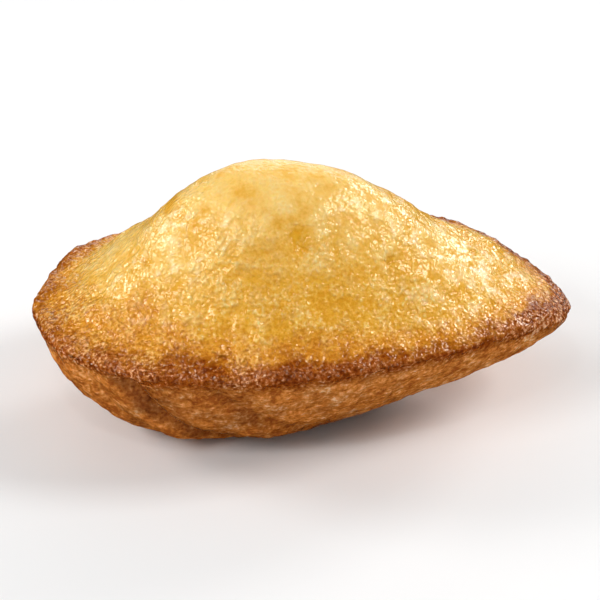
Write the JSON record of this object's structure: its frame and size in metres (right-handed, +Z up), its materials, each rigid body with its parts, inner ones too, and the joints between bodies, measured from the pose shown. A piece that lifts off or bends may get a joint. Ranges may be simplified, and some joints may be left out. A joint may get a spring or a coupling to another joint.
{
  "type": "madeleine cake",
  "caption": "Shell-shaped sponge cake with a tall golden hump, a browned rim and a ribbed belly that fans out from a narrow tip.",
  "frame": {"origin": "on the ground, under the middle of the cake's bounding box", "axes": "+X along the cake to its narrow tip, +Y across it, +Z up through the hump"},
  "size_m": [0.0762, 0.046, 0.0383],
  "materials": {
    "baked_crumb": "golden baked sponge, buttery sheen, browned at the rim and on the belly"
  },
  "bodies": {
    "root": {"cake": "baked_crumb"}
  },
  "joints": []
}
